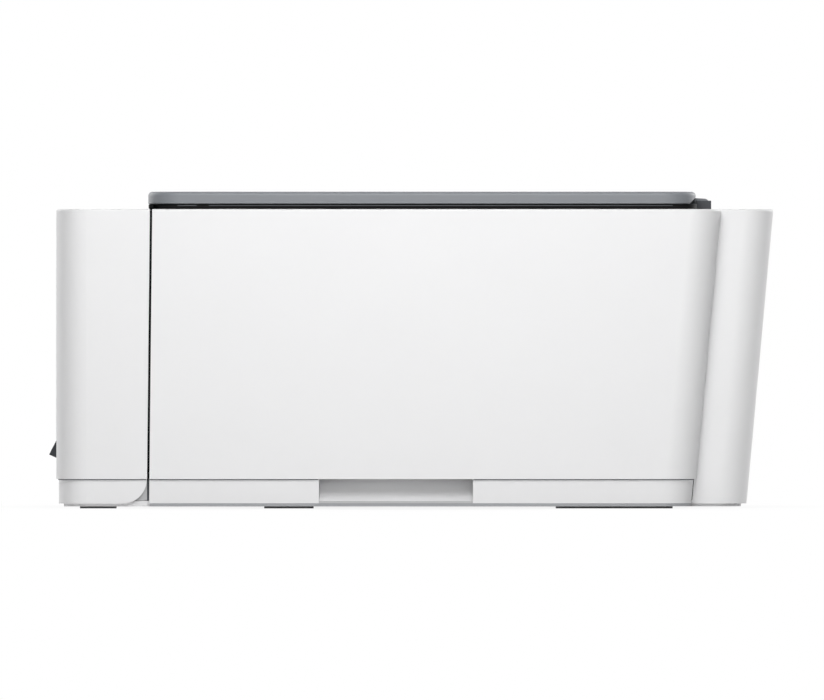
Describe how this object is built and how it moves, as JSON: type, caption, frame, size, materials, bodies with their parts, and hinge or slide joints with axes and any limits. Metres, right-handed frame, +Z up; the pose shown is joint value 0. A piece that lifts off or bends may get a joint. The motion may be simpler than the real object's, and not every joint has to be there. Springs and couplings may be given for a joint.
{
  "type": "inkjet printer",
  "caption": "Low desktop inkjet printer with refillable ink tanks, flatbed scanner under a hinged cover, rear paper feed and a pull-out output tray.",
  "frame": {"origin": "centre of the bounding box in plan, on the table under the feet", "axes": "+X to the right seen from the front, -Y to the front, +Z up"},
  "size_m": [0.4348, 0.3615, 0.1574],
  "materials": {
    "white_shell": "fine satin moulding",
    "base_grey": "satin moulding",
    "foot_rubber": "matt",
    "screw_steel": "zinc plated",
    "lid_grey": "fine satin moulding",
    "deck_black": "satin",
    "hinge_grey": "satin",
    "foam_white": "fine foam sheet",
    "clear_glass": "polished",
    "window_smoke": "clear plastic",
    "tank_clear": "translucent",
    "cap_black": "satin",
    "cap_cyan": "satin",
    "cap_magenta": "satin",
    "cap_yellow": "satin",
    "panel_black": "gloss",
    "button_grey": "satin",
    "tray_dark": "satin",
    "inner_black": "moulded",
    "frame_steel": "plated sheet",
    "shaft_steel": "ground",
    "gear_plastic": "moulded",
    "roller_rubber": "matt",
    "belt_rubber": "ribbed",
    "board_green": "coated board",
    "tube_clear": "soft tube",
    "strip_clear": "film"
  },
  "bodies": {
    "body": {"base_pan": "base_grey", "front_skirt": "white_shell", "front_cabinet": "white_shell", "right_side_panel": "white_shell", "left_side_panel": "white_shell", "rear_shroud": "white_shell", "rubber_feet": "foot_rubber", "case_screws": "screw_steel", "tank_window": "window_smoke", "ink_tanks": "tank_clear", "ink_tubes": "tube_clear", "control_panel": "panel_black", "paper_ramp": "inner_black", "chassis_frame": "frame_steel", "carriage_rod": "shaft_steel", "encoder_strip": "strip_clear", "drive_belt": "belt_rubber", "drive_motors": "frame_steel", "roller_holders": "inner_black", "platen": "inner_black", "service_station": "inner_black", "circuit_boards": "board_green", "power_supply": "inner_black"},
    "tank_lid": {"tank_lid": "white_shell"},
    "output_tray": {"output_tray": "tray_dark"},
    "tray_extender": {"tray_extender": "tray_dark"},
    "scanner": {"scanner_bed": "inner_black", "scanner_deck": "deck_black", "scanner_glass": "clear_glass", "lid_hinges": "hinge_grey"},
    "scan_bar": {"scan_bar": "inner_black"},
    "lid": {"lid_shell": "lid_grey", "lid_pad": "foam_white"},
    "input_flap": {"input_flap": "white_shell"},
    "paper_support": {"paper_support": "lid_grey"},
    "right_paper_guide": {"right_paper_guide": "tray_dark"},
    "left_paper_guide": {"left_paper_guide": "tray_dark"},
    "guide_pinion": {"guide_pinion": "gear_plastic"},
    "carriage": {"carriage": "inner_black", "printhead": "frame_steel"},
    "motor_pulley": {"motor_pulley": "gear_plastic"},
    "idler_pulley": {"idler_pulley": "gear_plastic"},
    "feed_roller": {"feed_roller": "shaft_steel", "feed_gear": "gear_plastic"},
    "idler_gear": {"idler_gear": "gear_plastic"},
    "exit_roller": {"exit_roller": "roller_rubber"},
    "motor_pinion": {"motor_pinion": "gear_plastic"},
    "pick_roller": {"pick_roller": "roller_rubber"},
    "pinch_rollers": {"pinch_rollers": "gear_plastic"},
    "star_wheels": {"star_wheels": "shaft_steel"},
    "head_cap": {"head_cap": "roller_rubber"},
    "black_cap": {"black_cap": "cap_black"},
    "cyan_cap": {"cyan_cap": "cap_cyan"},
    "magenta_cap": {"magenta_cap": "cap_magenta"},
    "yellow_cap": {"yellow_cap": "cap_yellow"},
    "power_button": {"power_button": "button_grey"},
    "wireless_button": {"wireless_button": "button_grey"},
    "mono_copy_button": {"mono_copy_button": "button_grey"},
    "colour_copy_button": {"colour_copy_button": "button_grey"},
    "stop_button": {"stop_button": "button_grey"}
  },
  "joints": [
    {"name": "scanner_lift", "type": "hinge", "parent": "body", "child": "scanner", "pos_m": [0, 0.1465, 0.145], "axis": [-1, 0, 0], "range_deg": [0, 28]},
    {"name": "lid_hinge", "type": "hinge", "parent": "scanner", "child": "lid", "pos_m": [0, 0.1465, 0.1512], "axis": [-1, 0, 0], "range_deg": [0, 74]},
    {"name": "scan_travel", "type": "slide", "parent": "scanner", "child": "scan_bar", "axis": [1, 0, 0], "range_m": [0, 0.33]},
    {"name": "tank_lid_hinge", "type": "hinge", "parent": "body", "child": "tank_lid", "pos_m": [0.15035, -0.13585, 0.14745], "axis": [-1, 0, 0], "range_deg": [0, 80]},
    {"name": "black_cap_hinge", "type": "hinge", "parent": "body", "child": "black_cap", "pos_m": [0.11385, -0.1379, 0.1239], "axis": [-1, 0, 0], "range_deg": [0, 95]},
    {"name": "cyan_cap_hinge", "type": "hinge", "parent": "body", "child": "cyan_cap", "pos_m": [0.14885, -0.1379, 0.1239], "axis": [-1, 0, 0], "range_deg": [0, 95]},
    {"name": "magenta_cap_hinge", "type": "hinge", "parent": "body", "child": "magenta_cap", "pos_m": [0.17285, -0.1379, 0.1239], "axis": [-1, 0, 0], "range_deg": [0, 95]},
    {"name": "yellow_cap_hinge", "type": "hinge", "parent": "body", "child": "yellow_cap", "pos_m": [0.19685, -0.1379, 0.1239], "axis": [-1, 0, 0], "range_deg": [0, 95]},
    {"name": "power_button_press", "type": "slide", "parent": "body", "child": "power_button", "axis": [0, 0, -1], "range_m": [0, 0.001], "stiffness_N_per_m": 800, "springref_m": -0.0005},
    {"name": "wireless_button_press", "type": "slide", "parent": "body", "child": "wireless_button", "axis": [0, 0, -1], "range_m": [0, 0.001], "stiffness_N_per_m": 800, "springref_m": -0.0005},
    {"name": "mono_copy_button_press", "type": "slide", "parent": "body", "child": "mono_copy_button", "axis": [0, 0, -1], "range_m": [0, 0.001], "stiffness_N_per_m": 800, "springref_m": -0.0005},
    {"name": "colour_copy_button_press", "type": "slide", "parent": "body", "child": "colour_copy_button", "axis": [0, 0, -1], "range_m": [0, 0.001], "stiffness_N_per_m": 800, "springref_m": -0.0005},
    {"name": "stop_button_press", "type": "slide", "parent": "body", "child": "stop_button", "axis": [0, 0, -1], "range_m": [0, 0.001], "stiffness_N_per_m": 800, "springref_m": -0.0005},
    {"name": "tray_slide", "type": "slide", "parent": "body", "child": "output_tray", "axis": [0, -1, 0], "range_m": [0, 0.1]},
    {"name": "extender_slide", "type": "slide", "parent": "output_tray", "child": "tray_extender", "axis": [0, -1, 0], "range_m": [0, 0.085]},
    {"name": "flap_hinge", "type": "hinge", "parent": "body", "child": "input_flap", "pos_m": [0, 0.17385, 0.14745], "axis": [-1, 0, 0], "range_deg": [0, 90]},
    {"name": "support_slide", "type": "slide", "parent": "body", "child": "paper_support", "axis": [0, 0.0906, 0.9959], "range_m": [0, 0.085]},
    {"name": "right_guide_slide", "type": "slide", "parent": "body", "child": "right_paper_guide", "axis": [-1, 0, 0], "range_m": [0, 0.054]},
    {"name": "left_guide_slide", "type": "slide", "parent": "body", "child": "left_paper_guide", "axis": [1, 0, 0], "range_m": [0, 0.054]},
    {"name": "guide_pinion_turn", "type": "hinge", "parent": "body", "child": "guide_pinion", "pos_m": [0, 0.14514, 0.09498], "axis": [0, -0.8747, 0.4846], "range_deg": [-2, 389]},
    {"name": "carriage_travel", "type": "slide", "parent": "body", "child": "carriage", "axis": [-1, 0, 0], "range_m": [0, 0.27]},
    {"name": "motor_pulley_turn", "type": "hinge", "parent": "body", "child": "motor_pulley", "pos_m": [-0.164, 0.08, 0.095], "axis": [0, 1, 0], "range_deg": [-2, 1751]},
    {"name": "idler_pulley_turn", "type": "hinge", "parent": "body", "child": "idler_pulley", "pos_m": [0.164, 0.08, 0.095], "axis": [0, 1, 0], "range_deg": [-2, 1751]},
    {"name": "feed_turn", "type": "hinge", "parent": "body", "child": "feed_roller", "pos_m": [0, 0.07, 0.048], "axis": [1, 0, 0], "continuous": true},
    {"name": "idler_turn", "type": "hinge", "parent": "body", "child": "idler_gear", "pos_m": [0, 0.0255, 0.048], "axis": [1, 0, 0], "continuous": true},
    {"name": "exit_turn", "type": "hinge", "parent": "body", "child": "exit_roller", "pos_m": [0, -0.015, 0.048], "axis": [1, 0, 0], "continuous": true},
    {"name": "pinion_turn", "type": "hinge", "parent": "body", "child": "motor_pinion", "pos_m": [0, 0.055, 0.02202], "axis": [1, 0, 0], "continuous": true},
    {"name": "pick_turn", "type": "hinge", "parent": "body", "child": "pick_roller", "pos_m": [0, 0.11427, 0.07125], "axis": [1, 0, 0], "continuous": true},
    {"name": "pinch_turn", "type": "hinge", "parent": "body", "child": "pinch_rollers", "pos_m": [0, 0.07, 0.0583], "axis": [1, 0, 0], "continuous": true},
    {"name": "star_turn", "type": "hinge", "parent": "body", "child": "star_wheels", "pos_m": [0, -0.015, 0.0593], "axis": [1, 0, 0], "continuous": true},
    {"name": "head_cap_drop", "type": "slide", "parent": "body", "child": "head_cap", "axis": [0, 0, -1], "range_m": [0, 0.005]}
  ],
  "couplings": [
    {"joint": "left_guide_slide", "follows": "right_guide_slide", "ratio": 1},
    {"joint": "guide_pinion_turn", "follows": "right_guide_slide", "rad_per_m": 125},
    {"joint": "motor_pulley_turn", "follows": "carriage_travel", "rad_per_m": 112.99},
    {"joint": "idler_pulley_turn", "follows": "carriage_travel", "rad_per_m": 112.99},
    {"joint": "idler_turn", "follows": "feed_turn", "ratio": -1.1707},
    {"joint": "exit_turn", "follows": "feed_turn", "ratio": 1.2},
    {"joint": "pinion_turn", "follows": "feed_turn", "ratio": -4},
    {"joint": "pick_turn", "follows": "feed_turn", "ratio": -0.92308},
    {"joint": "pinch_turn", "follows": "feed_turn", "ratio": -1.5},
    {"joint": "star_turn", "follows": "feed_turn", "ratio": -1.44}
  ]
}
